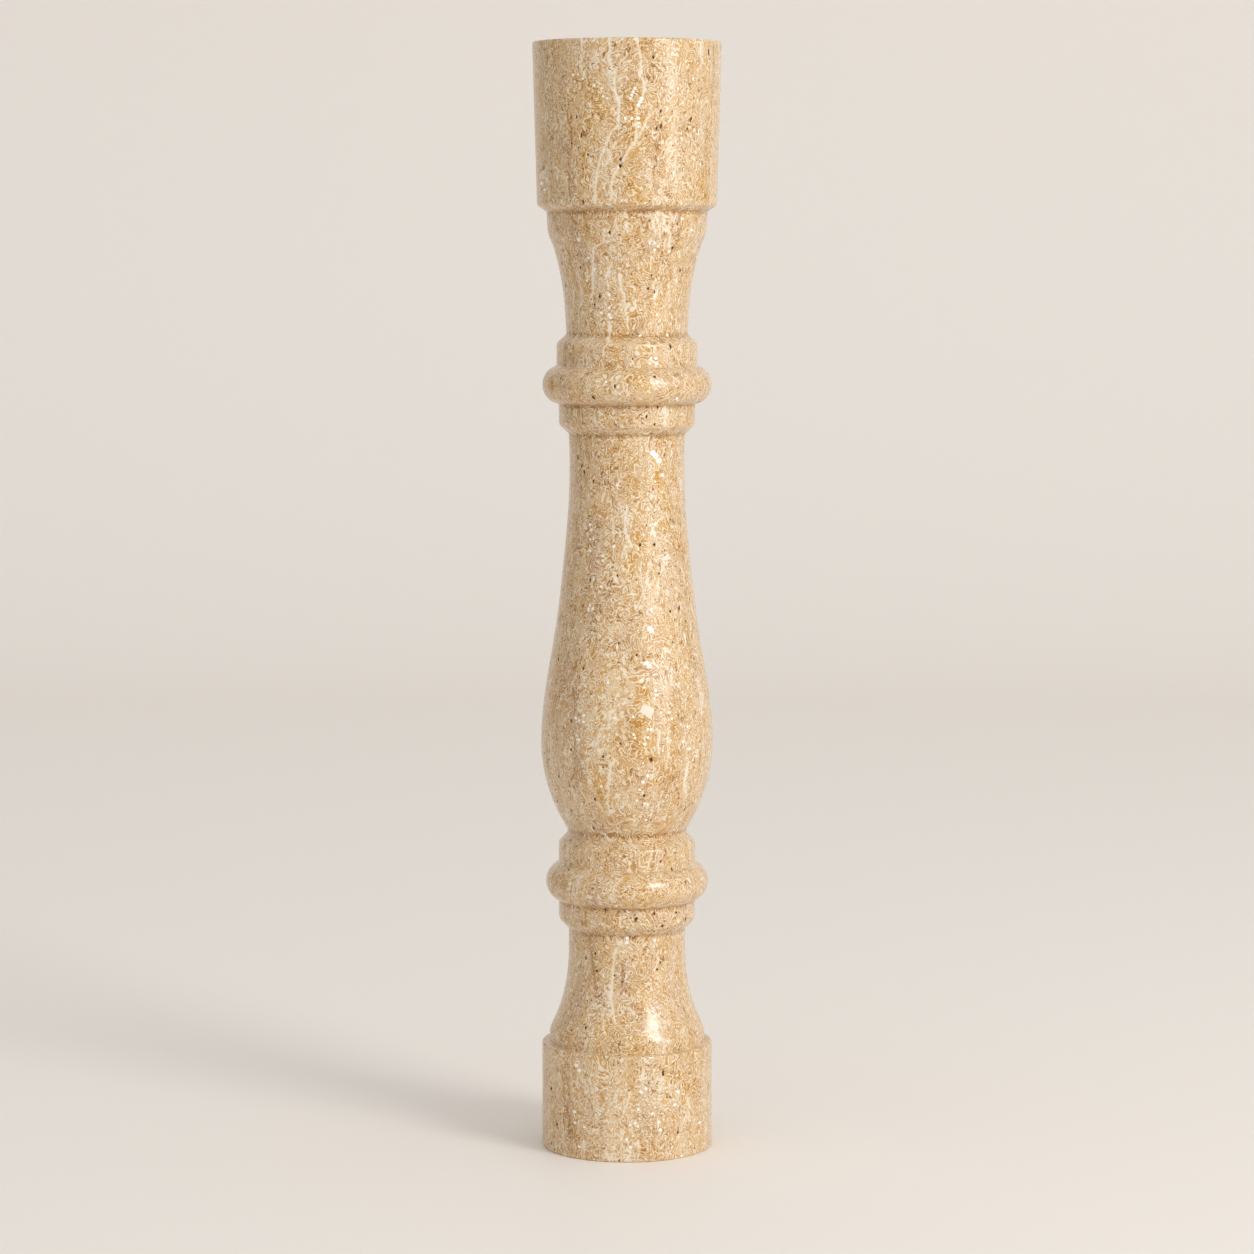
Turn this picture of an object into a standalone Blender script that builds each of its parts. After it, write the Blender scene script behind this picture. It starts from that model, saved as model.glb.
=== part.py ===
"""Turned stone baluster: a round head drum, a hollow neck between moulded bands, a vase shaft
and a flared foot on a round base block, all worked from one length of veined travertine.

Metres, +Z up. The origin is at the centre of the bottom bed.
Every member has its own height and diameters, and the overall height is what they add up to.
"""
import math

import bpy

MM = 0.001

# Base block, a plain drum that stands on its bottom bed.
BASE_DIAMETER = 108.5 * MM
BASE_HEIGHT = 67.6 * MM
BASE_TOP_ARRIS = 1.4 * MM
BASE_BED_ARRIS = 1.0 * MM

# Foot: an upright lip on the base block, and a bell that flares down to it from a short neck.
LIP_DIAMETER = 98.8 * MM
LIP_HEIGHT = 8.8 * MM
LIP_ARRIS = 3.0 * MM
BELL_FOOT_DIAMETER = 97.8 * MM
BELL_HEIGHT = 52.2 * MM
BELL_FOOT_SLOPE = 0.52
FOOT_NECK_DIAMETER = 74.3 * MM
FOOT_NECK_HEIGHT = 12.0 * MM

# Lower mouldings: a band rounded under into the foot's neck, a torus, and a band rounded over.
LOWER_UNDERCUT_HEIGHT = 6.2 * MM
LOWER_UNDERCUT_ROUNDING = 7.5 * MM
LOWER_FOOT_BAND_DIAMETER = 86.9 * MM
LOWER_FOOT_BAND_HEIGHT = 12.0 * MM
LOWER_TORUS_HEIGHT = 24.0 * MM
LOWER_TORUS_PROJECTION = 8.1 * MM
LOWER_HEAD_BAND_DIAMETER = 86.9 * MM
LOWER_HEAD_BAND_HEIGHT = 13.2 * MM
LOWER_SHOULDER_HEIGHT = 5.6 * MM
LOWER_SHOULDER_ROUNDING = 4.0 * MM

# Vase shaft: a short throat, a round belly, a swell that runs up to a slim waist, and a straight top.
THROAT_DIAMETER = 76.0 * MM
THROAT_HEIGHT = 2.9 * MM
THROAT_SLOPE = 0.61
BELLY_DIAMETER = 109.1 * MM
BELLY_ABOVE_THROAT = 55.6 * MM
SWELL_DIAMETER = 85.7 * MM
SWELL_ABOVE_BELLY = 90.5 * MM
SWELL_SLOPE = 0.11
WAIST_DIAMETER = 72.4 * MM
WAIST_ABOVE_SWELL = 85.4 * MM
SHAFT_TOP_DIAMETER = 73.5 * MM
SHAFT_TOP_ABOVE_WAIST = 19.6 * MM

# Upper mouldings: the same three members as the lower ones, at their own sizes.
UPPER_UNDERCUT_HEIGHT = 5.7 * MM
UPPER_UNDERCUT_ROUNDING = 5.0 * MM
UPPER_FOOT_BAND_DIAMETER = 86.0 * MM
UPPER_FOOT_BAND_HEIGHT = 12.9 * MM
UPPER_TORUS_HEIGHT = 24.2 * MM
UPPER_TORUS_PROJECTION = 9.0 * MM
UPPER_HEAD_BAND_DIAMETER = 88.7 * MM
UPPER_HEAD_BAND_HEIGHT = 14.3 * MM
UPPER_SHOULDER_HEIGHT = 5.2 * MM
UPPER_SHOULDER_ROUNDING = 4.4 * MM

# Hollow neck under the head, and the collar that it springs from.
NECK_DIAMETER = 76.5 * MM
NECK_FOOT_SLOPE = 0.03
NECK_HEIGHT = 64.0 * MM
NECK_HEAD_SLOPE = 0.41
COLLAR_FOOT_DIAMETER = 99.4 * MM
COLLAR_HEAD_DIAMETER = 100.9 * MM
COLLAR_HEIGHT = 12.6 * MM

# Head drum, a little wider at its top bed than at its lower edge.
SOFFIT_HEIGHT = 3.9 * MM
DRUM_FOOT_DIAMETER = 112.9 * MM
DRUM_FOOT_ROUNDING = 3.0 * MM
DRUM_HEIGHT = 101.6 * MM
DRUM_BED_DIAMETER = 118.6 * MM
DRUM_BED_ARRIS = 1.5 * MM

# How finely the turned surface is faceted.
SIDES = 44
ARC_STEP_DEGREES = 22.5
MERGE_DISTANCE = 0.01 * MM
SHARP_ANGLE_DEGREES = 30.0

STONE_COLOUR = (0.58, 0.40, 0.24, 1.0)
STONE_ROUGHNESS = 0.22


def clear_scene():
    for item in list(bpy.data.objects):
        bpy.data.objects.remove(item, do_unlink=True)


def member_levels():
    """Height above the bottom bed of each joint between members, named for the member under it."""
    stack = (
        ("base", BASE_HEIGHT),
        ("lip", LIP_HEIGHT),
        ("bell", BELL_HEIGHT),
        ("foot_neck", FOOT_NECK_HEIGHT),
        ("lower_undercut", LOWER_UNDERCUT_HEIGHT),
        ("lower_foot_band", LOWER_FOOT_BAND_HEIGHT),
        ("lower_torus", LOWER_TORUS_HEIGHT),
        ("lower_head_band", LOWER_HEAD_BAND_HEIGHT),
        ("lower_shoulder", LOWER_SHOULDER_HEIGHT),
        ("throat", THROAT_HEIGHT),
        ("belly", BELLY_ABOVE_THROAT),
        ("swell", SWELL_ABOVE_BELLY),
        ("waist", WAIST_ABOVE_SWELL),
        ("shaft_top", SHAFT_TOP_ABOVE_WAIST),
        ("upper_undercut", UPPER_UNDERCUT_HEIGHT),
        ("upper_foot_band", UPPER_FOOT_BAND_HEIGHT),
        ("upper_torus", UPPER_TORUS_HEIGHT),
        ("upper_head_band", UPPER_HEAD_BAND_HEIGHT),
        ("upper_shoulder", UPPER_SHOULDER_HEIGHT),
        ("neck", NECK_HEIGHT),
        ("collar", COLLAR_HEIGHT),
        ("soffit", SOFFIT_HEIGHT),
        ("drum", DRUM_HEIGHT),
    )
    levels = {}
    height = 0.0
    for name, member_height in stack:
        height += member_height
        levels[name] = height
    return levels


def torus_run(height, projection, head_band, foot_band, foot_level):
    """The round outer side of a torus, from the band above it to the band below.

    Each half is an arc that stands upright at the torus's widest place and ends on its own band.
    """
    reach = max(head_band, foot_band) / 2 + projection
    half_height = height / 2
    middle = foot_level + half_height
    head = half_torus(reach, middle, half_height, reach - head_band / 2)
    foot = half_torus(reach, middle, -half_height, reach - foot_band / 2)
    return head[::-1] + foot[1:]


def half_torus(reach, middle, rise, projection):
    """Points of one arc, from the torus's widest place to the band that it ends on."""
    sweep = 2 * math.atan2(projection, abs(rise))
    radius = rise / math.sin(sweep)
    steps = math.ceil(math.degrees(sweep) / ARC_STEP_DEGREES)
    points = []
    for step in range(steps + 1):
        angle = sweep * step / steps
        points.append((reach - abs(radius) * (1 - math.cos(angle)), middle + radius * math.sin(angle)))
    return points


def swept_run(head, head_slope, foot, foot_slope, steps):
    """A smooth curve down from head to foot, each (axis distance, height).

    A slope is how far the curve moves out from the axis for each unit that it drops.
    """
    drop = head[1] - foot[1]
    points = []
    for step in range(steps + 1):
        share = step / steps
        head_weight = 2 * share ** 3 - 3 * share ** 2 + 1
        head_pull = share ** 3 - 2 * share ** 2 + share
        foot_pull = share ** 3 - share ** 2
        distance = (
            head_weight * head[0] + (1 - head_weight) * foot[0]
            + drop * (head_pull * head_slope + foot_pull * foot_slope))
        points.append((distance, head[1] - drop * share))
    return points


def rounded_corner(before, corner, after, rounding):
    """The arc that takes the place of a corner, no longer than half of either line beside it."""
    to_before = (before[0] - corner[0], before[1] - corner[1])
    to_after = (after[0] - corner[0], after[1] - corner[1])
    length_before = math.hypot(*to_before)
    length_after = math.hypot(*to_after)
    way_before = (to_before[0] / length_before, to_before[1] / length_before)
    way_after = (to_after[0] / length_after, to_after[1] / length_after)
    cosine = way_before[0] * way_after[0] + way_before[1] * way_after[1]
    half_angle = math.acos(max(-1.0, min(1.0, cosine))) / 2
    cut = min(rounding / math.tan(half_angle), length_before / 2, length_after / 2)
    radius = cut * math.tan(half_angle)
    bisector = (way_before[0] + way_after[0], way_before[1] + way_after[1])
    reach = radius / math.sin(half_angle) / math.hypot(*bisector)
    centre = (corner[0] + bisector[0] * reach, corner[1] + bisector[1] * reach)
    start = math.atan2(
        corner[1] + way_before[1] * cut - centre[1], corner[0] + way_before[0] * cut - centre[0])
    end = math.atan2(
        corner[1] + way_after[1] * cut - centre[1], corner[0] + way_after[0] * cut - centre[0])
    turn = (end - start + math.pi) % (2 * math.pi) - math.pi
    steps = max(1, math.ceil(math.degrees(abs(turn)) / ARC_STEP_DEGREES))
    return [
        (centre[0] + radius * math.cos(start + turn * step / steps),
         centre[1] + radius * math.sin(start + turn * step / steps))
        for step in range(steps + 1)
    ]


def straight_run(*corners):
    """Straight lines through corners, each (axis distance, height) or the same with a rounding."""
    points = [corners[0][:2]]
    for before, corner, after in zip(corners, corners[1:], corners[2:]):
        if len(corner) == 3:
            points.extend(rounded_corner(before, corner, after, corner[2]))
        else:
            points.append(corner)
    points.append(corners[-1][:2])
    return points


def head_outline(level):
    """Top bed, drum, soffit, collar and hollow neck."""
    return straight_run(
        (0.0, level["drum"]),
        (DRUM_BED_DIAMETER / 2, level["drum"], DRUM_BED_ARRIS),
        (DRUM_FOOT_DIAMETER / 2, level["soffit"], DRUM_FOOT_ROUNDING),
        (COLLAR_HEAD_DIAMETER / 2, level["collar"]),
        (COLLAR_FOOT_DIAMETER / 2, level["neck"]),
    ) + swept_run(
        (COLLAR_FOOT_DIAMETER / 2, level["neck"]), -NECK_HEAD_SLOPE,
        (NECK_DIAMETER / 2, level["upper_shoulder"]), -NECK_FOOT_SLOPE, 7)


def moulding_outline(level, prefix, stem_head, stem_foot, shoulder_rounding, head_band, torus, foot_band,
                     undercut_rounding):
    """Rounded shoulder, band, torus, band and rounded undercut between two stems."""
    return straight_run(
        (stem_head / 2, level[prefix + "_shoulder"]),
        (head_band / 2, level[prefix + "_head_band"], shoulder_rounding),
        (head_band / 2, level[prefix + "_torus"]),
    ) + torus_run(*torus, head_band, foot_band, level[prefix + "_foot_band"]) + straight_run(
        (foot_band / 2, level[prefix + "_foot_band"]),
        (foot_band / 2, level[prefix + "_undercut"], undercut_rounding),
        (stem_foot / 2, level[prefix + "_stem"]),
    )


def shaft_outline(level):
    """Straight top, waist, swell, belly and throat of the vase shaft."""
    top = (SHAFT_TOP_DIAMETER / 2, level["shaft_top"])
    waist = (WAIST_DIAMETER / 2, level["waist"])
    swell = (SWELL_DIAMETER / 2, level["swell"])
    belly = (BELLY_DIAMETER / 2, level["belly"])
    throat = (THROAT_DIAMETER / 2, level["throat"])
    throat_foot = (THROAT_DIAMETER / 2, level["lower_shoulder"])
    return (
        swept_run(top, 0.0, waist, 0.0, 2)
        + swept_run(waist, 0.0, swell, SWELL_SLOPE, 4)
        + swept_run(swell, SWELL_SLOPE, belly, 0.0, 6)
        + swept_run(belly, 0.0, throat, -THROAT_SLOPE, 7)
        + [throat_foot])


def foot_outline(level):
    """Foot neck, bell, lip, ledge and base block, down to the bottom bed."""
    neck = (FOOT_NECK_DIAMETER / 2, level["bell"])
    bell_foot = (BELL_FOOT_DIAMETER / 2, level["lip"])
    return swept_run(neck, 0.0, bell_foot, BELL_FOOT_SLOPE, 7)[:-1] + straight_run(
        bell_foot,
        (LIP_DIAMETER / 2, level["lip"] - LIP_ARRIS),
        (LIP_DIAMETER / 2, level["base"]),
        (BASE_DIAMETER / 2, level["base"], BASE_TOP_ARRIS),
        (BASE_DIAMETER / 2, 0.0, BASE_BED_ARRIS),
        (0.0, 0.0),
    )


def baluster_outline():
    """The whole outline from the centre of the top bed to the centre of the bottom bed."""
    level = member_levels()
    level["upper_stem"] = level["shaft_top"]
    level["lower_stem"] = level["foot_neck"]
    points = (
        head_outline(level)
        + moulding_outline(
            level, "upper", NECK_DIAMETER, SHAFT_TOP_DIAMETER, UPPER_SHOULDER_ROUNDING,
            UPPER_HEAD_BAND_DIAMETER, (UPPER_TORUS_HEIGHT, UPPER_TORUS_PROJECTION),
            UPPER_FOOT_BAND_DIAMETER, UPPER_UNDERCUT_ROUNDING)
        + shaft_outline(level)
        + moulding_outline(
            level, "lower", THROAT_DIAMETER, FOOT_NECK_DIAMETER, LOWER_SHOULDER_ROUNDING,
            LOWER_HEAD_BAND_DIAMETER, (LOWER_TORUS_HEIGHT, LOWER_TORUS_PROJECTION),
            LOWER_FOOT_BAND_DIAMETER, LOWER_UNDERCUT_ROUNDING)
        + foot_outline(level))
    return without_repeats(points)


def without_repeats(points):
    """The same outline with each point that two members share kept once."""
    kept = [points[0]]
    for point in points[1:]:
        if math.dist(point, kept[-1]) > MERGE_DISTANCE:
            kept.append(point)
    return kept


def stone_material():
    material = bpy.data.materials.new("travertine")
    material.use_nodes = True
    shader = material.node_tree.nodes["Principled BSDF"]
    shader.inputs["Base Color"].default_value = STONE_COLOUR
    shader.inputs["Roughness"].default_value = STONE_ROUGHNESS
    shader.inputs["Metallic"].default_value = 0.0
    return material


def turned(name, outline, collection):
    """A solid of revolution from an outline of (axis distance, height) points, run top to bottom."""
    mesh = bpy.data.meshes.new(name)
    vertices = [(distance, 0.0, height) for distance, height in outline]
    edges = [(index, index + 1) for index in range(len(outline) - 1)]
    mesh.from_pydata(vertices, edges, [])
    piece = bpy.data.objects.new(name, mesh)
    collection.objects.link(piece)
    screw = piece.modifiers.new("lathe", "SCREW")
    screw.axis = "Z"
    screw.angle = 2 * math.pi
    screw.steps = SIDES
    screw.render_steps = SIDES
    screw.use_merge_vertices = True
    screw.merge_threshold = MERGE_DISTANCE
    return piece


def shade_turned(piece):
    """Smooth round the axis and along its curves, sharp where two members meet at an angle."""
    graph = bpy.context.evaluated_depsgraph_get()
    mesh = bpy.data.meshes.new_from_object(piece.evaluated_get(graph))
    piece.modifiers.clear()
    piece.data = mesh
    mesh.name = piece.name
    mesh.shade_smooth()
    mesh.set_sharp_from_angle(angle=math.radians(SHARP_ANGLE_DEGREES))
    mesh.materials.clear()
    mesh.materials.append(stone_material())


def main():
    clear_scene()
    collection = bpy.data.collections.new("stone_baluster")
    bpy.context.scene.collection.children.link(collection)
    outline = baluster_outline()
    piece = turned("baluster", outline, collection)
    shade_turned(piece)
    print("outline points:", len(outline), "overall height in mm:", round(outline[0][1] / MM, 2))


main()
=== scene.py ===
# %% [markdown]
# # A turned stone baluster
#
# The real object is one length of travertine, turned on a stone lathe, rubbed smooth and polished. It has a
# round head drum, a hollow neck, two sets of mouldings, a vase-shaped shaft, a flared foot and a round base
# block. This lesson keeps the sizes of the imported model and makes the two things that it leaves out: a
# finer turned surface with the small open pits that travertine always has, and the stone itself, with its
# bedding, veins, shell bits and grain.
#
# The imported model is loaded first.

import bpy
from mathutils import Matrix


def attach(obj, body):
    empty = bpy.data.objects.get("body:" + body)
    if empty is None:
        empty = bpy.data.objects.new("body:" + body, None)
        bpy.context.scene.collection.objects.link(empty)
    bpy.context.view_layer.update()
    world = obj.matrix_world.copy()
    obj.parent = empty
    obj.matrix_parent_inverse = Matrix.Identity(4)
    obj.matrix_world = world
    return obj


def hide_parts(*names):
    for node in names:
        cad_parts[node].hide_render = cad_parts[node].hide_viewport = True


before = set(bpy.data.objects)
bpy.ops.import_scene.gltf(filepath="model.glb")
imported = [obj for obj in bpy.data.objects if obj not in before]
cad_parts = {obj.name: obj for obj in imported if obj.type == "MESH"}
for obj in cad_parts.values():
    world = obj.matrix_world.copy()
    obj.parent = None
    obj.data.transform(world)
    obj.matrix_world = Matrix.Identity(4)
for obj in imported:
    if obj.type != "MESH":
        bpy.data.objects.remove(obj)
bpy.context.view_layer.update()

# %% Modules and units
import math

import bpy
from mathutils import Vector

MM = 0.001
METRES_TO_MM = 1000.0
scene = bpy.context.scene
scene.view_settings.view_transform = "Standard"

# %% [markdown]
# ## The camera
#
# The baluster was photographed with a long lens, a little above its middle and tilted slightly down, so its
# upright sides hardly lean together. The distance, height and tilt below are the ones that lay the packed
# outline on the photographed one. A camera could also be shifted to keep uprights parallel, but this one
# wasn't.

# %% Camera
PHOTO_SIDE = 1254
FOCAL_PIXELS = 3931
SENSOR_WIDTH = 36.0
CAMERA_DISTANCE = 2.478
CAMERA_HEIGHT = 0.5815
CAMERA_TILT = math.radians(5.73)

camera_data = bpy.data.cameras.new("camera")
camera_data.sensor_width = SENSOR_WIDTH
camera_data.lens = SENSOR_WIDTH * FOCAL_PIXELS / PHOTO_SIDE
camera = bpy.data.objects.new("camera", camera_data)
camera.location = (0.0, -CAMERA_DISTANCE, CAMERA_HEIGHT)
camera.rotation_euler = (math.radians(90) - CAMERA_TILT, 0.0, 0.0)
scene.collection.objects.link(camera)
scene.camera = camera
print("camera:", round(camera_data.lens, 1), "mm lens on a", SENSOR_WIDTH, "mm sensor")

# %% [markdown]
# ## Helpers for node trees
#
# Materials and Geometry Nodes are both trees of nodes. One small helper adds a node, sets its own
# properties and fills its inputs: a socket is linked, and anything else is typed in. The others give the
# result of one kind of node each, so that sums, ranges and places can be written in a line.

# %% Node helpers
def fill(tree, node, values):
    """Fills a node's inputs. values is a dict of input name or number to a socket or a plain value."""
    for name, value in dict(values).items():
        if isinstance(value, bpy.types.NodeSocket):
            tree.links.new(value, node.inputs[name])
        else:
            node.inputs[name].default_value = value
    return node


def add(tree, kind, values=(), **settings):
    """A new node in the tree, with its own properties set and its inputs filled."""
    node = tree.nodes.new(kind)
    for name, value in settings.items():
        setattr(node, name, value)
    return fill(tree, node, values)


# %% Numbers in a tree
def maths(tree, operation, *values):
    """The result of a Math node on one, two or three values."""
    return add(tree, "ShaderNodeMath", enumerate(values), operation=operation).outputs[0]


def product(tree, first, second):
    """Two values multiplied."""
    return maths(tree, "MULTIPLY", first, second)


def together(tree, operation, parts):
    """Several values made one: their sum, or the smallest or the largest of them."""
    total = None
    for part in parts:
        total = part if total is None else maths(tree, operation, total, part)
    return total


def ranged(tree, value, low, high, to_low=0.0, to_high=1.0):
    """The value carried from low..high to to_low..to_high, eased in and out, and held at the ends."""
    sockets = {"Value": value, "From Min": low, "From Max": high, "To Min": to_low, "To Max": to_high}
    return add(tree, "ShaderNodeMapRange", sockets, interpolation_type="SMOOTHSTEP").outputs["Result"]


# %% Vectors in a tree
def vectors(tree, operation, *values):
    """The result of a Vector Math node. A dot product comes out of its second socket."""
    made = add(tree, "ShaderNodeVectorMath", enumerate(values), operation=operation)
    return made.outputs["Value" if operation == "DOT_PRODUCT" else "Vector"]


def times(tree, vector, factor):
    """A vector made longer by a number."""
    scaled = add(tree, "ShaderNodeVectorMath", {0: vector, "Scale": factor}, operation="SCALE")
    return scaled.outputs["Vector"]


def xyz(tree, vector):
    """The three numbers of a vector."""
    return tuple(add(tree, "ShaderNodeSeparateXYZ", {"Vector": vector}).outputs)


def combined(tree, x, y, z):
    """A vector made of three numbers."""
    return add(tree, "ShaderNodeCombineXYZ", {"X": x, "Y": y, "Z": z}).outputs["Vector"]


# %% Noise helpers
NOISE_MIDDLE = 0.5


def noise(tree, position, size, detail=1.0, curl=0.0, output="Fac"):
    """Smooth noise whose lumps are about that size, in the position's own units. curl hooks them round."""
    sockets = {"Vector": position, "Scale": 1 / size, "Detail": detail, "Distortion": curl}
    return add(tree, "ShaderNodeTexNoise", sockets).outputs[output]


def waves(tree, position, size, detail):
    """Three noises at once, as a vector that swings about zero."""
    colour = noise(tree, position, size, detail, output="Color")
    return vectors(tree, "SUBTRACT", colour, (NOISE_MIDDLE,) * 3)


# %% New node groups
SOCKET_TYPES = {int: "Int", float: "Float", tuple: "Vector"}


def new_group(name, kind, inputs, output, output_type):
    """An empty node group. inputs has a default value by name, or a type where there is no default."""
    tree = bpy.data.node_groups.new(name, kind)
    for label, value in inputs.items():
        socket_type = SOCKET_TYPES.get(type(value), value)
        socket = tree.interface.new_socket(label, in_out="INPUT", socket_type="NodeSocket" + socket_type)
        if value != socket_type:
            socket.default_value = value
    tree.interface.new_socket(output, in_out="OUTPUT", socket_type="NodeSocket" + output_type)
    return tree, tree.nodes.new("NodeGroupInput").outputs, tree.nodes.new("NodeGroupOutput").inputs[0]


# %% [markdown]
# ## Floor and backdrop
#
# The baluster stands on a pale paper sweep: a floor that curves up into a wall with no corner. The floor
# nearest the lights is a little brighter than the wall. A plane with a second plane behind it would show a
# hard line, so one sheet is bent through a wide quarter circle.

# %% Paper sweep
SWEEP_HALF_WIDTH = 4.0
SWEEP_FRONT = -5.0
SWEEP_START = 2.4
SWEEP_RADIUS = 1.2
SWEEP_TOP = 4.5
SWEEP_STEPS = 24
PAPER = (0.90, 0.852, 0.802, 1.0)


def paper_sweep():
    """The floor, its wide bend and the wall behind, as one smooth sheet."""
    side = [(SWEEP_FRONT, 0.0)]
    for step in range(SWEEP_STEPS + 1):
        angle = math.radians(90) * step / SWEEP_STEPS
        side.append((SWEEP_START + SWEEP_RADIUS * math.sin(angle), SWEEP_RADIUS * (1 - math.cos(angle))))
    side.append((SWEEP_START + SWEEP_RADIUS, SWEEP_TOP))
    points = [(x, y, z) for y, z in side for x in (-SWEEP_HALF_WIDTH, SWEEP_HALF_WIDTH)]
    faces = [(2 * i, 2 * i + 1, 2 * i + 3, 2 * i + 2) for i in range(len(side) - 1)]
    mesh = bpy.data.meshes.new("paper_sweep")
    mesh.from_pydata(points, [], faces)
    mesh.shade_smooth()
    return bpy.data.objects.new("paper_sweep", mesh)


paper = bpy.data.materials.new("paper")
paper.use_nodes = True
paper_shader = paper.node_tree.nodes["Principled BSDF"]
fill(paper.node_tree, paper_shader, {"Base Color": PAPER, "Roughness": 0.55, "Specular IOR Level": 0.25})
sweep = paper_sweep()
sweep.data.materials.append(paper)
scene.collection.objects.link(sweep)
print("paper sweep:", len(sweep.data.polygons), "faces")

# %% [markdown]
# ## Light
#
# The highlights on the two tori and the long shadow to the left and back place the key light: a
# window-sized soft light, 45 degrees to the right of the camera and well above the head drum. A taller and
# weaker card beside it draws the highlights out upwards and downwards. The rest is soft light from a pale
# room, a little brighter above and in front. An HDR picture could light it too, but lamps and a plain world
# are easier to read and to change.

# %% Key light, tall card and room
LIGHT_AIM = Vector((0.0, 0.0, 0.38))
WARM_WHITE = (1.0, 0.985, 0.96)
ROOM_WHITE = (1.0, 0.995, 0.985, 1.0)
ROOM_LIGHT = 0.48
ROOM_BRIGHT_SIDE = (0.28, -0.60, 0.75)
ROOM_CONTRAST = 0.75


def soft_light(name, azimuth, distance, height, size, power):
    """A rectangular light that faces the baluster. azimuth is in degrees, to the right of the camera."""
    data = bpy.data.lights.new(name, "AREA")
    data.shape = "RECTANGLE"
    data.size, data.size_y = size
    data.energy = power
    data.color = WARM_WHITE
    light = bpy.data.objects.new(name, data)
    turn = math.radians(azimuth)
    light.location = (distance * math.sin(turn), -distance * math.cos(turn), height)
    light.rotation_euler = (LIGHT_AIM - light.location).to_track_quat("-Z", "Y").to_euler()
    scene.collection.objects.link(light)
    print(name, "at", [round(x, 2) for x in light.location])


soft_light("key_window", azimuth=45, distance=3.40, height=1.97, size=(1.22, 1.36), power=54.0)
soft_light("tall_card", azimuth=53, distance=3.40, height=1.05, size=(1.42, 2.05), power=16.0)

room = bpy.data.worlds.new("room")
room.use_nodes = True
room_tree = room.node_tree
towards = add(room_tree, "ShaderNodeTexCoord").outputs["Generated"]
towards_bright = vectors(room_tree, "DOT_PRODUCT", towards, ROOM_BRIGHT_SIDE)
strength = maths(room_tree, "MULTIPLY_ADD", towards_bright, ROOM_LIGHT * ROOM_CONTRAST, ROOM_LIGHT)
fill(room_tree, room_tree.nodes["Background"], {"Strength": strength, "Color": ROOM_WHITE})
scene.world = room
print("room light:", ROOM_LIGHT)

# %% [markdown]
# ## The outline
#
# A turned piece is one outline carried round an axis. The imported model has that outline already, as the row
# of points where it crosses the plane to the right of its axis. Reading it back keeps every member at the
# size that was built, and leaves nothing to type twice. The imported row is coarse, so the next cells make it
# finer.

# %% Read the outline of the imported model
ON_PLANE = 1e-6
DIGITS = 6


def packed_outline(node):
    """The (radius, height) points of a turned node from the middle of its top to the middle of its bottom."""
    right = [v.co for v in node.data.vertices if abs(v.co.y) < ON_PLANE and v.co.x > -ON_PLANE]
    places = {(round(co.x, DIGITS), round(co.z, DIGITS)) for co in right}
    rows = sorted(places, key=lambda place: (-place[1], place[0]))
    top, bottom = (0.0, rows[0][1]), (0.0, rows[-1][1])
    return [Vector(top)] * (rows[0][0] > ON_PLANE) + [Vector(row) for row in rows] + [Vector(bottom)]


coarse_outline = packed_outline(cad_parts["baluster"])
tall = coarse_outline[0].y * METRES_TO_MM
print("packed outline:", len(coarse_outline), "points,", round(tall, 1), "mm tall")

# %% [markdown]
# The mouldings have corners that stay, where a band meets a torus, and soft runs that only look angular
# because they have few points. A corner is wherever the outline turns by more than a set angle. A
# polisher's pad takes the sharpness off each one, so each corner is cut back a little first, and the two
# new points are joined by an arc like any other soft run.

# %% Ease the corners
CORNER_ANGLE = math.radians(25)
EASED = 0.55 * MM
MOST_OF_A_STRETCH = 0.4


def heading(a, b):
    return math.atan2(b.y - a.y, b.x - a.x)


def turn_between(first, second):
    return (second - first + math.pi) % (2 * math.pi) - math.pi


def eased_outline(points):
    """The outline with each hard corner swapped for two points, one on either side of it."""
    soft = [points[0]]
    for before, here, after in zip(points, points[1:], points[2:]):
        turn = turn_between(heading(before, here), heading(here, after))
        if abs(turn) < CORNER_ANGLE:
            soft.append(here)
            continue
        shorter = min((here - before).length, (after - here).length)
        cut = min(EASED, MOST_OF_A_STRETCH * shorter)
        soft.append(here + (before - here).normalized() * cut)
        soft.append(here + (after - here).normalized() * cut)
    return soft + [points[-1]]


soft_outline = eased_outline(coarse_outline)
print("eased corners:", len(soft_outline) - len(coarse_outline))

# %% [markdown]
# Each stretch between two points then becomes a Hermite curve. Its direction at a point leans towards the
# longer of the two stretches that meet there, so long straights stay straight and arcs stay round. A plain
# spline through the same points would bulge wherever a long stretch meets a short one.

# %% Smooth the runs between the points
LONGEST_STRETCH = 3.2 * MM
WIDEST_TURN = math.radians(7)


def directions(points):
    """The outline's direction at each point, weighted by the squared length of the stretches beside it."""
    stretches = [after - before for before, after in zip(points, points[1:])]
    weighted = [stretch.normalized() * stretch.length ** 2 for stretch in stretches]
    between = [(before + after).normalized() for before, after in zip(weighted, weighted[1:])]
    return [stretches[0].normalized(), *between, stretches[-1].normalized()]


def smooth_outline(points):
    """The points of the finished outline, close enough together to look round."""
    tangents = directions(points)
    fine = [points[0]]
    for a, b, leaving, arriving in zip(points, points[1:], tangents, tangents[1:]):
        length = (b - a).length
        bend = abs(turn_between(math.atan2(leaving.y, leaving.x), math.atan2(arriving.y, arriving.x)))
        steps = max(math.ceil(length / LONGEST_STRETCH), math.ceil(bend / WIDEST_TURN))
        for step in range(1, steps + 1):
            t = step / steps
            fine.append(
                a * (2 * t ** 3 - 3 * t ** 2 + 1)
                + leaving * length * (t ** 3 - 2 * t ** 2 + t)
                + b * (3 * t ** 2 - 2 * t ** 3)
                + arriving * length * (t ** 3 - t ** 2)
            )
    return fine


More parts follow.
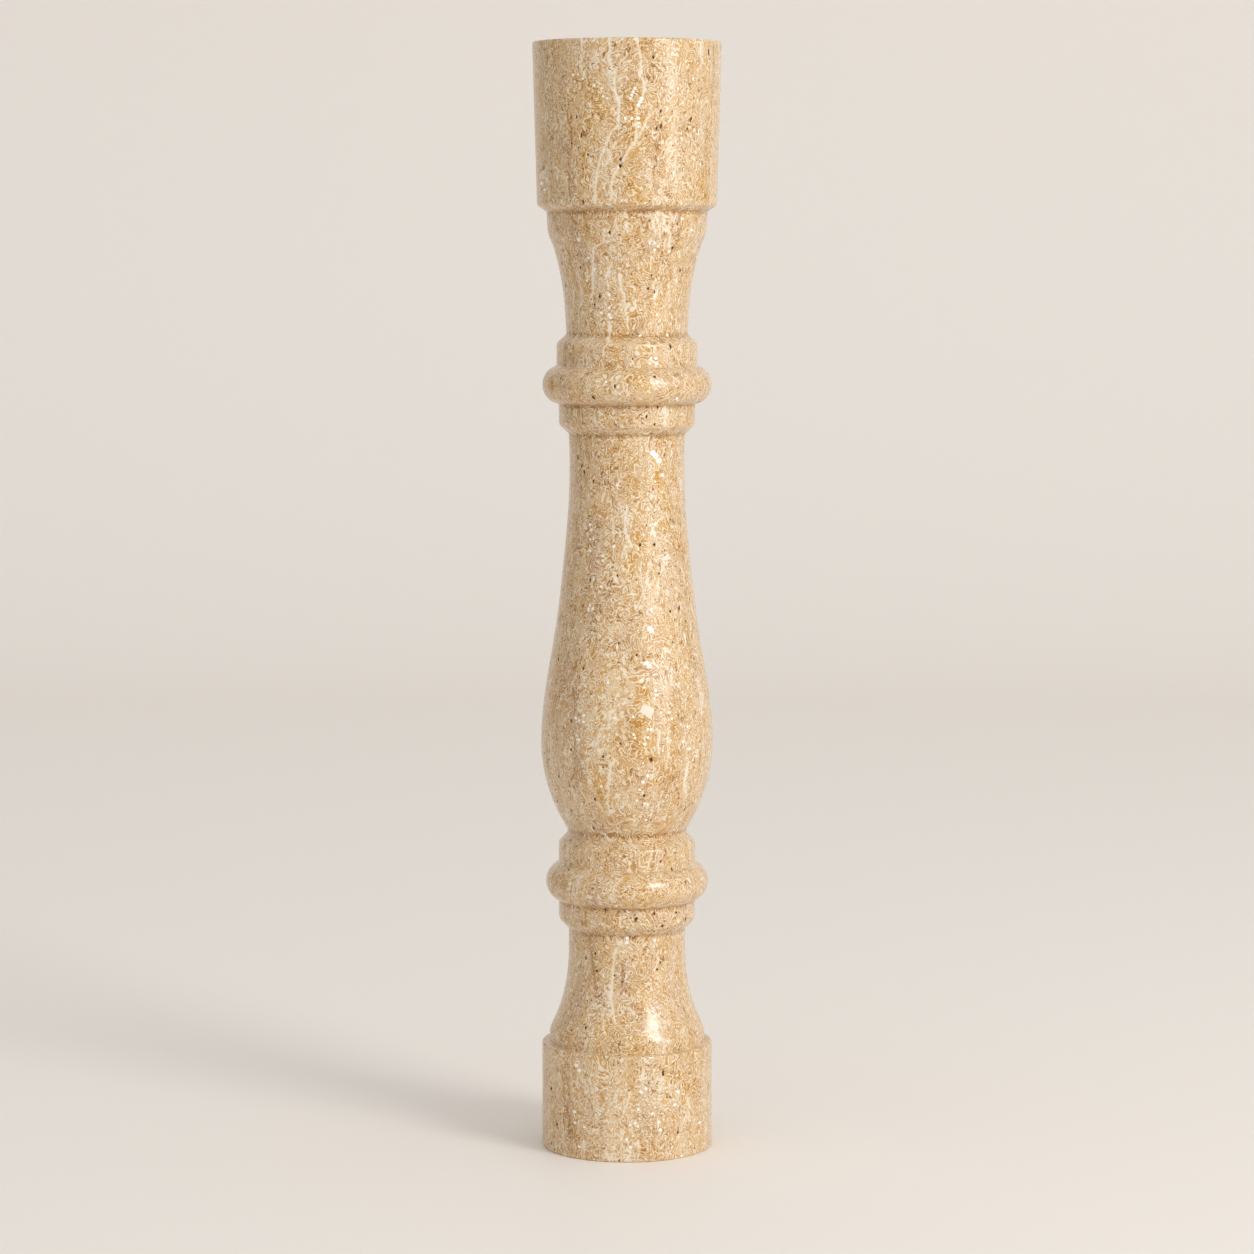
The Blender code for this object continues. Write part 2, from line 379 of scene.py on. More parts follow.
outline = smooth_outline(soft_outline)
print("finished outline:", len(outline), "points")

# %% [markdown]
# ## Turning the outline
#
# Geometry Nodes do what the lathe does. A grid has one row for each point of the outline and one column for
# each step round the axis. Every grid point then moves to its outline point's radius and height, and the
# seam and the two poles are welded shut. The Spin or Screw modifier would do it too; nodes keep the number
# of sides as a named input, and the outline can be changed without touching the tree.

# %% The turning tree
def shaped(tree, kind, geometry, **values):
    """The geometry after one node has worked on it."""
    return add(tree, "GeometryNode" + kind, {"Geometry": geometry, **values}).outputs["Geometry"]


def turning_tree():
    """A Geometry Nodes tree that turns a row of points about the upright axis."""
    inputs = {"Outline": "Geometry", "Sides": 64, "Weld distance": 0.000001, "Stone": "Material"}
    tree, given, result = new_group("turn an outline", "GeometryNodeTree", inputs, "Turned", "Geometry")
    size = add(tree, "GeometryNodeAttributeDomainSize", {"Geometry": given["Outline"]})
    count = size.outputs["Point Count"]
    columns = maths(tree, "ADD", given["Sides"], 1.0)
    grid = add(tree, "GeometryNodeMeshGrid", {"Vertices X": columns, "Vertices Y": count}).outputs["Mesh"]
    index = add(tree, "GeometryNodeInputIndex").outputs["Index"]
    row = maths(tree, "MODULO", index, count)
    column = maths(tree, "FLOOR", maths(tree, "DIVIDE", index, count))
    position = add(tree, "GeometryNodeInputPosition").outputs["Position"]
    picked = {"Geometry": given["Outline"], "Value": position, "Index": row}
    sampled = add(tree, "GeometryNodeSampleIndex", picked, data_type="FLOAT_VECTOR").outputs["Value"]
    radius, _, height = xyz(tree, sampled)
    angle = product(tree, maths(tree, "DIVIDE", column, given["Sides"]), 2 * math.pi)
    x = product(tree, radius, maths(tree, "COSINE", angle))
    y = product(tree, radius, maths(tree, "SINE", angle))
    turned = shaped(tree, "SetPosition", grid, Position=combined(tree, x, y, height))
    welded = shaped(tree, "MergeByDistance", turned, Distance=given["Weld distance"])
    real = shaped(tree, "RealizeInstances", shaped(tree, "SetShadeSmooth", welded))
    tree.links.new(shaped(tree, "SetMaterial", real, Material=given["Stone"]), result)
    return tree


def made_by_nodes(name, start, tree, **values):
    """Runs a tree on a mesh and returns the plain mesh that it makes. values are the tree's named inputs."""
    worker = bpy.data.objects.new(name, start)
    scene.collection.objects.link(worker)
    modifier = worker.modifiers.new("nodes", "NODES")
    modifier.node_group = tree
    for item in tree.interface.items_tree:
        if item.in_out == "INPUT" and item.name in values:
            modifier[item.identifier] = values[item.name]
    evaluated = worker.evaluated_get(bpy.context.evaluated_depsgraph_get())
    mesh = bpy.data.meshes.new_from_object(evaluated)
    bpy.data.objects.remove(worker)
    mesh.name = name
    return mesh


# %% Turn the outline
SIDES = 160
travertine = bpy.data.materials.new("travertine")
pit_wall = bpy.data.materials.new("pit_wall")
outline_mesh = bpy.data.meshes.new("outline")
edges = [(i, i + 1) for i in range(len(outline) - 1)]
outline_mesh.from_pydata([(point.x, 0.0, point.y) for point in outline], edges, [])
turned_mesh = made_by_nodes("turned_stone", outline_mesh, turning_tree(), Sides=SIDES, Stone=travertine)
print("turned:", len(turned_mesh.vertices), "points,", len(turned_mesh.polygons), "faces")


# %% Turn the faces outwards
CUBIC_METRES_TO_CM = 1e6


def signed_volume(mesh):
    """The volume inside a closed mesh: positive where its faces point outwards."""
    total = 0.0
    points = mesh.vertices
    for face in mesh.polygons:
        first, *others = (points[i].co for i in face.vertices)
        total += sum(first.dot(a.cross(b)) for a, b in zip(others, others[1:])) / 6
    return total


if signed_volume(turned_mesh) < 0:
    turned_mesh.flip_normals()
print("volume:", round(signed_volume(turned_mesh) * CUBIC_METRES_TO_CM, 1), "cubic centimetres")

# %% [markdown]
# ## Open pits
#
# Travertine is laid down by a spring, and gas and rotted stems leave holes in it. Where the lathe cuts
# through one, a small dark pit stays open, too deep for the polish. A dark spot painted on a smooth surface
# would pass from afar, but it has no lip to catch the light, so these pits are cut into the mesh.
#
# The larger ones were placed one by one, in millimetres across and up on the side that faces the camera. The
# small ones are scattered over the whole piece. Both become points, each point gets a lumpy little solid
# that is longer up the bedding than across it, and one Boolean takes them all out of the stone.

# %% Pits placed one by one
CHOSEN_PITS = [
    # across, up, width, length over width
    (16, 688, 1.7, 1.5), (-24, 629, 1.6, 1.0), (-30, 633, 1.4, 1.0), (-34, 636, 1.2, 1.3),
    (18, 645, 1.5, 1.6), (-4, 626, 1.6, 1.0), (37, 645, 1.3, 1.2), (-28, 641, 1.2, 3.0),
    (-27, 600, 1.5, 2.4), (-31, 652, 1.3, 1.8), (28, 572, 1.7, 1.3), (33, 558, 1.6, 1.2),
    (13, 547, 1.5, 1.0), (15, 555, 1.2, 1.0), (-17, 542, 1.5, 1.4), (-20, 537, 1.2, 1.2),
    (-29, 560, 1.5, 1.0), (8, 388, 1.8, 1.2), (17, 388, 1.8, 1.1), (-23, 366, 1.4, 2.0),
    (-6, 369, 1.3, 1.2), (20, 370, 1.4, 1.0), (27, 346, 1.5, 1.3), (37, 339, 1.3, 1.4), (6, 320, 1.6, 1.0),
    (-21, 427, 1.4, 1.8), (12, 400, 1.2, 1.0), (27, 403, 1.4, 1.0), (-35, 278, 1.5, 1.5),
    (-35, 260, 1.6, 1.2), (-15, 257, 1.6, 1.3), (-15, 250, 1.3, 1.0), (-20, 229, 1.5, 1.8),
    (-44, 224, 1.6, 1.0), (36, 220, 1.5, 1.2), (15, 255, 2.4, 1.2), (17, 156, 1.8, 1.0),
    (31, 155, 1.7, 1.0), (37, 149, 1.6, 1.3), (17, 144, 1.5, 1.0), (-20, 129, 1.5, 1.4),
    (-19, 118, 1.7, 1.0), (-26, 125, 1.2, 1.2), (-8, 116, 1.4, 1.0), (-3, 112, 1.2, 1.0),
    (21, 123, 1.3, 1.0), (19, 119, 1.5, 1.2), (-26, 83, 1.6, 1.4), (-35, 80, 1.5, 1.0),
    (-48, 41, 1.9, 1.2), (32, 17, 1.7, 1.0), (17, 493, 2.0, 1.0), (19, 474, 1.2, 2.2), (12, 468, 1.3, 1.8),
    (17, 463, 1.2, 1.5),
]


def radius_at(height):
    """The stone's radius at a height, in metres."""
    for above, below in zip(outline, outline[1:]):
        if below.y <= height <= above.y and above.y > below.y:
            return below.x + (above.x - below.x) * (height - below.y) / (above.y - below.y)
    return 0.0


def front_point(across, up):
    """The point of the camera's side of the stone that is so many millimetres across and up."""
    radius = radius_at(up * MM)
    return Vector((across * MM, -math.sqrt(max(radius ** 2 - (across * MM) ** 2, 0.0)), up * MM))


chosen_mesh = bpy.data.meshes.new("chosen_pits")
chosen_mesh.from_pydata([front_point(across, up) for across, up, _, _ in CHOSEN_PITS], [], [])
for name, numbers in (
    ("pit_radius", [width / 2 * MM for _, _, width, _ in CHOSEN_PITS]),
    ("pit_length", [length for _, _, _, length in CHOSEN_PITS]),
):
    chosen_mesh.attributes.new(name, "FLOAT", "POINT").data.foreach_set("value", numbers)
chosen_pits = bpy.data.objects.new("chosen_pits", chosen_mesh)
scene.collection.objects.link(chosen_pits)
print("pits placed by eye:", len(CHOSEN_PITS))

# %% Helpers for the pit tree
def random_value(tree, low, high, seed, kind="FLOAT"):
    """The result of a Random Value node. Only the sockets of its own kind are in use."""
    node = add(tree, "FunctionNodeRandomValue", data_type=kind)
    in_use = [i for i, socket in enumerate(node.inputs) if socket.enabled]
    fill(tree, node, {in_use[0]: low, in_use[1]: high, "Seed": seed})
    return next(socket for socket in node.outputs if socket.enabled)


def stored(tree, geometry, name, value):
    """The geometry with a number kept on each of its points under that name."""
    sockets = {"Geometry": geometry, "Name": name, "Value": value}
    return add(tree, "GeometryNodeStoreNamedAttribute", sockets, data_type="FLOAT").outputs["Geometry"]


def kept(tree, name):
    """The number kept under that name."""
    node = add(tree, "GeometryNodeInputNamedAttribute", {"Name": name}, data_type="FLOAT")
    return node.outputs["Attribute"]


# %% Scattered pits
ROT_PER_METRE = (60.0, 110.0, 22.0)
ROTTEN_FROM_TO = (0.42, 0.62)
SOUND_SHARE = 0.08
SMALL_PITS_POWER = 2.5


def scattered_pits(tree, given, position):
    """Points all over the surface, most of them in rotten stone, each with a radius and a length."""
    rotten = noise(tree, vectors(tree, "MULTIPLY", position, ROT_PER_METRE), 1.0)
    sockets = {
        "Mesh": given["Surface"],
        "Distance Min": given["Least spacing"],
        "Density Max": given["Most per square metre"],
        "Density Factor": ranged(tree, rotten, *ROTTEN_FROM_TO, SOUND_SHARE, 1.0),
        "Seed": given["Seed"],
    }
    scatter = add(tree, "GeometryNodeDistributePointsOnFaces", sockets, distribute_method="POISSON")
    chance = maths(tree, "POWER", random_value(tree, 0.0, 1.0, given["Seed"]), SMALL_PITS_POWER)
    span = maths(tree, "SUBTRACT", given["Largest radius"], given["Smallest radius"])
    radius = maths(tree, "MULTIPLY_ADD", chance, span, given["Smallest radius"])
    points = stored(tree, scatter.outputs["Points"], "pit_radius", radius)
    lengths = random_value(tree, 1.0, given["Greatest length"], maths(tree, "ADD", given["Seed"], 1.0))
    return stored(tree, points, "pit_length", lengths)


# %% The pit tree
PIT_FLATNESS = 0.9
PIT_LEAN = Vector((0.45, 0.3, 3.1))
LUMPS_PER_METRE = 900.0
ROUND_STEPS = 2
FACES_PER_PIT = 80


def pit_tree():
    """A Geometry Nodes tree that makes the solids of all the pits in a surface."""
    inputs = {
        "Surface": "Geometry", "Chosen": "Object", "Most per square metre": 2000.0, "Least spacing": 0.004,
        "Smallest radius": 0.0004, "Largest radius": 0.001, "Greatest length": 2.5, "Lumps": 0.0005,
        "Seed": 1, "Wall": "Material",
    }
    tree, given, result = new_group("pits in a surface", "GeometryNodeTree", inputs, "Pits", "Geometry")
    position = add(tree, "GeometryNodeInputPosition").outputs["Position"]
    scattered = scattered_pits(tree, given, position)
    chosen = add(tree, "GeometryNodeObjectInfo", {"Object": given["Chosen"]}).outputs["Geometry"]
    chosen = add(tree, "GeometryNodeMeshToPoints", {"Mesh": chosen}).outputs["Points"]
    both = add(tree, "GeometryNodeJoinGeometry")
    for points in (scattered, chosen):
        tree.links.new(points, both.inputs["Geometry"])
    ball = add(tree, "GeometryNodeMeshIcoSphere", {"Radius": 1.0, "Subdivisions": ROUND_STEPS})
    radius = kept(tree, "pit_radius")
    depth = product(tree, radius, PIT_FLATNESS)
    sockets = {
        "Points": both.outputs["Geometry"],
        "Instance": ball.outputs["Mesh"],
        "Rotation": random_value(tree, tuple(-PIT_LEAN), tuple(PIT_LEAN), given["Seed"], kind="FLOAT_VECTOR"),
        "Scale": combined(tree, radius, depth, product(tree, radius, kept(tree, "pit_length"))),
    }
    placed = add(tree, "GeometryNodeInstanceOnPoints", sockets).outputs["Instances"]
    lumps = times(tree, waves(tree, position, 1 / LUMPS_PER_METRE, 0.0), given["Lumps"])
    lumpy = shaped(tree, "SetPosition", shaped(tree, "RealizeInstances", placed), Offset=lumps)
    tree.links.new(shaped(tree, "SetMaterial", lumpy, Material=given["Wall"]), result)
    return tree


pits_mesh = made_by_nodes("pit_solids", turned_mesh, pit_tree(), Chosen=chosen_pits, Seed=7, Wall=pit_wall)
bpy.data.objects.remove(chosen_pits)
print("pit solids:", len(pits_mesh.polygons) // FACES_PER_PIT)

# %% [markdown]
# The Boolean modifier's Manifold solver is quick and exact for closed meshes, which both of these are. The
# result is read back as a plain mesh. Its pit walls keep their own material, which tells the two apart
# later.

# %% Cut the pits
def cut_out(mesh, cutter_mesh, name):
    """The first mesh with the solids of the second one taken away."""
    body = bpy.data.objects.new(name, mesh)
    cutter = bpy.data.objects.new("cutter", cutter_mesh)
    for thing in (body, cutter):
        scene.collection.objects.link(thing)
    boolean = body.modifiers.new("cut", "BOOLEAN")
    boolean.object = cutter
    boolean.operation = "DIFFERENCE"
    boolean.solver = "MANIFOLD"
    boolean.material_mode = "TRANSFER"
    result = bpy.data.meshes.new_from_object(body.evaluated_get(bpy.context.evaluated_depsgraph_get()))
    for thing in (body, cutter):
        bpy.data.objects.remove(thing)
    result.name = name
    return result


pitted_mesh = cut_out(turned_mesh, pits_mesh, "pitted_stone")
wall_slots = {i for i, material in enumerate(pitted_mesh.materials) if material == pit_wall}
wall_faces = sum(face.material_index in wall_slots for face in pitted_mesh.polygons)
triangles = sum(len(face.vertices) - 2 for face in pitted_mesh.polygons)
print("pitted stone:", triangles, "triangles, of them pit walls:", wall_faces)


# %% [markdown]
# ## Position in the stone
#
# A stone's figure goes right through it, and the lathe only shows where it cut. So every pattern here is a
# function of the place in the block, in millimetres, and none of it is wrapped round the outside. This
# block was set on the lathe with its bedding upright and facing the camera: a layer is a few millimetres
# thick from front to back, and wide across and up. That is why the lines crowd together and follow the
# outline near both edges, and open into loops in the middle.
#
# The layers were never flat. Smooth noise bends the co-ordinates that every other pattern reads, once in
# wide folds and once in small ones.

# %% Helpers for places and patterns
def shifted(tree, position, *distances):
    """The position moved along, so that the same noise gives another pattern."""
    return vectors(tree, "ADD", position, distances)


def stretched(tree, position, *lengths):
    """The position divided by a length each way, so that what reads it is stretched by them."""
    return vectors(tree, "DIVIDE", position, lengths)


def divided(tree, position, size):
    """The position in steps of a size that is itself an input."""
    return times(tree, position, maths(tree, "DIVIDE", 1.0, size))


def use(tree, group, **values):
    """The result of a node group placed in the tree. Underscores in the input names stand for spaces."""
    named = {name.replace("_", " "): value for name, value in values.items()}
    return add(tree, "ShaderNodeGroup", named, node_tree=group).outputs[0]


def pattern(name, output, values):
    """A group that puts out one number for a position, which it divides by the first of its values."""
    inputs = {"Position": "Vector", **values}
    tree, given, result = new_group(name, "ShaderNodeTree", inputs, output, "Float")
    return tree, given, divided(tree, given["Position"], given[1]), result


# %% Fold group
def folds():
    """Bends the co-ordinates by smooth noise of one size, as the layers of the stone are bent."""
    inputs = {"Position": "Vector", "Size": 48.0, "Reach": (16.0, 5.0, 14.0)}
    tree, given, result = new_group("folds", "ShaderNodeTree", inputs, "Position", "Vector")
    wave = waves(tree, divided(tree, given["Position"], given["Size"]), 1.0, 1.5)
    bend = vectors(tree, "MULTIPLY", wave, given["Reach"])
    tree.links.new(vectors(tree, "ADD", given["Position"], bend), result)
    return tree


fold_group = folds()
print("group:", fold_group.name)

# %% [markdown]
# ## Filaments
#
# Pale threads of clear calcite run all through the stone, some as long wandering veins and most as curls a
# few millimetres across. A line wherever smooth noise passes through its middle value gives just such
# closed, wandering threads. A second, wider noise decides where they show, so they come and go in patches.
# The ground between them is darkened a little, as much as the lines lighten it, so a patch of them is no
# paler than the rest: the share of a patch that its lines cover is their width times a fixed number.

# %% Filament group
COVERED = 3.3
FILAMENT_PATCH = 3.1


def filaments():
    """Thin wandering lines: nearly 1 on a line and a little below 0 beside it. 0 where none show."""
    values = {"Size": 6.0, "Width": 0.03, "Shown from": 0.45, "Shown fully": 0.6}
    tree, given, place, result = pattern("filaments", "Line", values)
    height = noise(tree, place, 1.0, 0.5, curl=0.8)
    distance = maths(tree, "ABSOLUTE", maths(tree, "SUBTRACT", height, NOISE_MIDDLE))
    line = ranged(tree, distance, 0.0, given["Width"], 1.0, 0.0)
    patch = noise(tree, shifted(tree, place, 31.0, 7.0, 19.0), FILAMENT_PATCH)
    shown = ranged(tree, patch, given["Shown from"], given["Shown fully"])
    level = maths(tree, "SUBTRACT", line, product(tree, given["Width"], COVERED))
    tree.links.new(product(tree, level, shown), result)
    return tree


filament_group = filaments()
print("group:", filament_group.name)

# %% [markdown]
# ## Loops
#
# Between the threads the stone is full of nested curls, golden and cream by turns, a millimetre or two
# apart. They look like the contour lines of a map, so they are made like them: the height of smooth noise
# goes through a sine, which turns every step of height into one pale and one dark line. The sine's crest is
# then raised to a power, because the pale lines are thin and the golden ground between them is wide. The
# stone has wide curls and small ones, and each kind keeps to its own parts of the stone.

# %% Loop group
CREST_POWER = 3.0
CREST_OVER_GROUND = 1.6
GROUND = -0.5


def loops():
    """Nested closed lines: about 1 on a thin pale line and -0.5 on the ground between them."""
    tree, given, place, result = pattern("loops", "Swing", {"Size": 8.0, "Lines": 6.0})
    height = noise(tree, place, 1.0, 0.4, curl=0.8)
    wave = maths(tree, "SINE", product(tree, height, product(tree, given["Lines"], 2 * math.pi)))
    crest = maths(tree, "POWER", maths(tree, "MULTIPLY_ADD", wave, 0.5, 0.5), CREST_POWER)
    tree.links.new(maths(tree, "MULTIPLY_ADD", crest, CREST_OVER_GROUND, GROUND), result)
    return tree


loop_group = loops()
print("group:", loop_group.name)

# %% [markdown]
# ## Crystal fans
#
# Here and there the calcite grew as a fan of needles from one point, which polishes to a patch of fine
# spokes. A Voronoi texture gives scattered centres, and the angle round each centre, taken through a sine,
# gives spokes.

# %% Fan group
FAN_HUB = (0.08, 0.16)
FAN_RIM = (0.35, 0.55)


def cells_of(tree, place):
    """Scattered centres: the distance to the nearest, its place and its three random numbers."""
    found = add(tree, "ShaderNodeTexVoronoi", {"Vector": place, "Scale": 1.0}).outputs
    return found["Distance"], found["Position"], xyz(tree, found["Color"])


def fans():
    """Patches of spokes, from -1 to 1 across each spoke, and 0 outside the patches."""
    values = {"Spacing": 14.0, "Spokes": 26.0, "Share kept": 0.35}
    tree, given, place, result = pattern("crystal fans", "Swing", values)
    distance, centre, chances = cells_of(tree, place)
    x, _, z = xyz(tree, vectors(tree, "SUBTRACT", place, centre))
    spokes = maths(tree, "SINE", product(tree, maths(tree, "ARCTAN2", z, x), given["Spokes"]))
    reach = product(tree, ranged(tree, distance, *FAN_HUB), ranged(tree, distance, *FAN_RIM, 1.0, 0.0))
    shown = product(tree, reach, maths(tree, "LESS_THAN", chances[0], given["Share kept"]))
    tree.links.new(product(tree, spokes, shown), result)
    return tree


fan_group = fans()
print("group:", fan_group.name)

# %% [markdown]
# ## Flecks
#
# Shell bits, seed-sized white dots, rust spots and pin-prick pits are all separate spots of about one size.
# A Voronoi texture gives scattered centres and the distance to the nearest one; each centre also has a
# random number, which drops most of them and makes the rest of unequal size.

# %% Fleck group
SMALLEST_SHARE = 0.4


def flecks():
    """Separate spots: 1 inside one, 0 outside. Spacing and radius are in the position's own units."""
    values = {"Spacing": 9.0, "Radius": 1.0, "Share kept": 0.3, "Softness": 0.3}
    tree, given, place, result = pattern("flecks", "Spot", values)
    distance, _, chances = cells_of(tree, place)
    size = maths(tree, "MULTIPLY_ADD", chances[1], 1.0 - SMALLEST_SHARE, SMALLEST_SHARE)
    radius = product(tree, given["Radius"], size)
    beyond = maths(tree, "SUBTRACT", product(tree, distance, given["Spacing"]), radius)
    spot = ranged(tree, beyond, product(tree, given["Softness"], -1.0), given["Softness"], 1.0, 0.0)
    shown = maths(tree, "LESS_THAN", chances[0], given["Share kept"])
    tree.links.new(product(tree, spot, shown), result)
    return tree


fleck_group = flecks()
print("group:", fleck_group.name)

# %% [markdown]
# ## Marks placed by eye
#
# Noise gives the right kind of stone but never this stone. Its boldest marks are placed one by one as they
# lie on the side that faces the camera: white shells, strings of dots, long cream veins, and golden and
# grey bands. Each mark is a width and then its points, in millimetres across and up. The place that is
# measured against them is bent by small folds first, so no line is straight and no dot quite round. Veins
# and bands are sheets in the bedding, so they go through the stone, wander on the way, and come out at the
# back somewhere else. Shells and dots stay in front.

# %% Veins, dark lines and bands
VEINS = [
    # width, then points from the top down
    (1.2, (-10, 704), (-11, 689), (-8, 678), (-7, 670), (-5, 658), (-5, 649), (-11, 640), (-16, 628),
     (-18, 620), (-19, 611), (-20, 599)),
    (1.3, (6, 704), (8, 687), (8, 679), (11, 668), (9, 662), (6, 656), (6, 640), (0, 630), (-5, 622),
     (-9, 612), (-10, 600)),
    (0.9, (-28, 704), (-28, 684), (-24, 674)), (1.0, (14, 655), (11, 647), (6, 640)),
    (0.8, (-45, 623), (-42, 619), (-43, 614)), (0.8, (-50, 624), (-51, 616), (-48, 613)),
    (0.9, (46, 704), (45, 690), (46, 685)), (1.2, (21, 592), (24, 585), (27, 581), (25, 571)),
    (1.3, (-14, 585), (-14, 576), (-19, 574), (-21, 563), (-23, 537)),
    (1.0, (-10, 563), (-12, 553), (-12, 546)), (1.3, (-4, 556), (-3, 548), (-2, 540), (0, 529), (1, 521)),
    (1.1, (18, 553), (16, 549), (18, 544), (17, 540)),
    (1.2, (-11, 526), (-11, 516), (-13, 512), (-15, 506)), (1.4, (23, 474), (23, 461)),
    (1.2, (22, 405), (17, 401), (16, 395), (21, 392), (26, 388)),
    (1.3, (-1, 413), (-1, 403), (0, 393), (2, 387)), (1.2, (20, 367), (19, 356)),
    (1.0, (-3, 372), (-8, 370), (-4, 362)), (1.3, (-7, 257), (-11, 247), (-12, 232), (-10, 218)),
    (1.2, (39, 253), (37, 242), (36, 229)), (0.8, (45, 304), (47, 303), (48, 293), (49, 279)),
    (1.0, (28, 312), (28, 299)), (0.8, (-11, 285), (-11, 279)), (0.8, (-8, 286), (-8, 280)),
    (1.1, (16, 194), (14, 190), (13, 184)), (1.2, (-4, 157), (-4, 146)),
    (1.2, (-7, 134), (-9, 118), (-10, 100), (-7, 85)), (1.0, (-15, 96), (-15, 87), (-13, 79)),
    (1.1, (2, 46), (0, 38), (-3, 28)), (0.9, (39, 38), (39, 22)), (1.2, (-27, 14), (-27, 4)),
    (1.2, (-18, 66), (-16, 60), (-11, 57)),
]
DARK_LINES = [
    (0.9, (-37, 658), (-36, 651), (-34, 643), (-34, 631)), (0.8, (-36, 619), (-35, 603)),
    (0.8, (-50, 626), (-52, 619), (-52, 613)), (1.2, (-36, 594), (-33, 590), (-31, 585)),
    (0.9, (-32, 316), (-33, 307)), (0.9, (-33, 298), (-33, 289)), (1.0, (-32, 250), (-35, 238)),
    (0.9, (18, 201), (18, 195), (16, 190)), (0.8, (-26, 157), (-26, 147)),
    (0.9, (-22, 142), (-22, 126), (-21, 105)), (0.8, (-3, 118), (-3, 107)),
]
GOLD_BANDS = [
    (9, (-22, 670), (-12, 656)), (9, (4, 672), (6, 647)), (10, (4, 612), (10, 603)),
    (7, (47, 615), (47, 603)), (9, (6, 497), (11, 487), (16, 483)), (7, (-47, 493), (-47, 484)),
    (7, (18, 432), (22, 424)), (8, (22, 402), (30, 392), (31, 382)), (9, (10, 300), (9, 279), (12, 256)),
    (7, (-16, 244), (-13, 227)), (7, (10, 177), (11, 164)), (11, (2, 16), (7, 8), (15, 5)),
    (8, (-38, 30), (-35, 16)), (7, (32, 55), (38, 37)),
]
GREY_BANDS = [
    (6, (-38, 640), (-35, 624), (-34, 601)), (6, (-33, 585), (-30, 577), (-21, 554), (-20, 534)),
    (7, (-21, 402), (-22, 365), (-26, 336)), (7, (-32, 321), (-33, 269), (-31, 253), (-33, 235)),
    (6, (-20, 141), (-20, 117), (-18, 93)), (6, (-37, 34), (-35, 12)), (5, (-3, 125), (-3, 106)),
]
# Pale bands of the stone. The first, upright on the head drum, is partly the stone's cream and partly a
# painted highlight, where the light's reflection runs down the drum.
PALE_AND_HIGHLIGHT_BANDS = [
    (6, (27, 704), (28, 670), (28, 636), (27, 605)), (9, (-9, 308), (-11, 280), (-15, 263)),
    (8, (23, 322), (26, 298)), (9, (-7, 139), (-9, 112), (-9, 85)), (6, (24, 474), (23, 461)),
    (8, (-2, 590), (-3, 583)), (8, (-7, 56), (-9, 35), (-10, 5)), (8, (18, 57), (20, 37)),
    (9, (10, 374), (16, 341)),
]
print("veins:", len(VEINS), "dark lines:", len(DARK_LINES),
      "bands:", len(GOLD_BANDS), "golden,", len(GREY_BANDS), "grey,", len(PALE_AND_HIGHLIGHT_BANDS), "pale")

# %% Shells and white dots
SHELLS = [
    # width, then the places of all dots this wide; dots that touch make one shell
    (0.9, (-33, 678), (-30, 678), (-27, 675)),
    (1.1, (-24, 347), (-23, 350), (-21, 348)),
    (1.2, (8, 236), (10, 234), (-32, 280), (38, 274), (-24, 566)),
    (1.3, (14, 575), (17, 575), (19, 573), (17, 571), (7, 648), (7, 646), (-12, 663), (-8, 387),
     (17, 293), (2, 24), (5, 25), (7, 23), (6, 229), (-12, 303), (28, 280), (26, 284), (12, 216),
     (-25, 552), (8, 518)),
    (1.4, (-11, 535), (-23, 391), (-23, 384), (-6, 425), (11, 300), (4, 271), (5, 269), (13, 226),
     (11, 227), (-30, 577), (-13, 490)),
    (1.5, (3, 665), (2, 663), (-15, 381), (-15, 378), (-33, 23), (-27, 21), (13, 274), (15, 274),
     (-30, 267), (39, 260), (-16, 238), (40, 583), (25, 518)),
    (1.6, (14, 501), (15, 504), (18, 504), (18, 501), (5, 669), (4, 667), (-20, 671), (26, 570),
     (-16, 532), (-11, 543), (-23, 400), (-22, 397), (-16, 362), (15, 348), (-24, 348), (18, 298),
     (18, 295), (-27, 282), (-27, 278), (4, 282), (13, 269), (16, 31), (30, 35), (46, 20), (2, 10),
     (35, 265), (34, 590)),
    (1.7, (-1, 651), (-53, 612), (-51, 608), (-11, 531), (-10, 529), (12, 47), (-33, 30), (-30, 8),
     (11, 265), (13, 245), (31, 479)),
    (1.8, (22, 431), (32, 43), (7, 34), (0, 15), (20, 25), (21, 20)),
    (1.9, (3, 651), (7, 651), (9, 45)),
    (2.0, (9, 663), (8, 661), (7, 659), (0, 140), (0, 137), (10, 241)),
    (2.2, (-32, 60), (-30, 57)),
    (2.6, (12, 315), (14, 313)),
    (3.0, (14, 336), (15, 335)),
    (3.2, (16, 445), (18, 443), (20, 440)),
]
DIAMOND_SHELL = [(10, 290), (17, 287), (15, 280), (8, 285)]
print("shell dots:", sum(len(places) for _, *places in SHELLS), "and one shell with corners")

# %% [markdown]
# The bedding stands upright, so the veins and bands run down the stone. A line that only ever goes down can
# be written as two curves over height: where it is across, and how wide it is. Float Curve nodes hold such
# curves, and marks that follow one another share a pair, with no width in the gaps between them. Measuring
# to every short piece of every line would give the same picture in twice the time.
#
# A dot needs only its distance. The squared distance to a fixed point is the place's own squared distance
# from the middle, less a number times across, less another times up, plus a third, and the smallest of them
# is taken.

# %% Share the marks out in strands
FADE = 3.0


def fade_of(row):
    """How far beyond its ends a mark takes to fade away. A wide band takes longer."""
    return FADE + row[0] / 2


def strands(rows):
    """Shares the rows out, so that those in one strand follow one another up the stone with a gap between."""
    shared = []
    for row in sorted(rows, key=lambda row: row[-1][1]):
        for strand in shared:
            if strand[-1][1][1] + fade_of(strand[-1]) + fade_of(row) <= row[-1][1]:
                strand.append(row)
                break
        else:
            shared.append([row])
    return shared

for kind, rows in (("veins", VEINS), ("dark lines", DARK_LINES), ("golden bands", GOLD_BANDS)):
    print(kind, "share", len(strands(rows)), "pairs of curves")

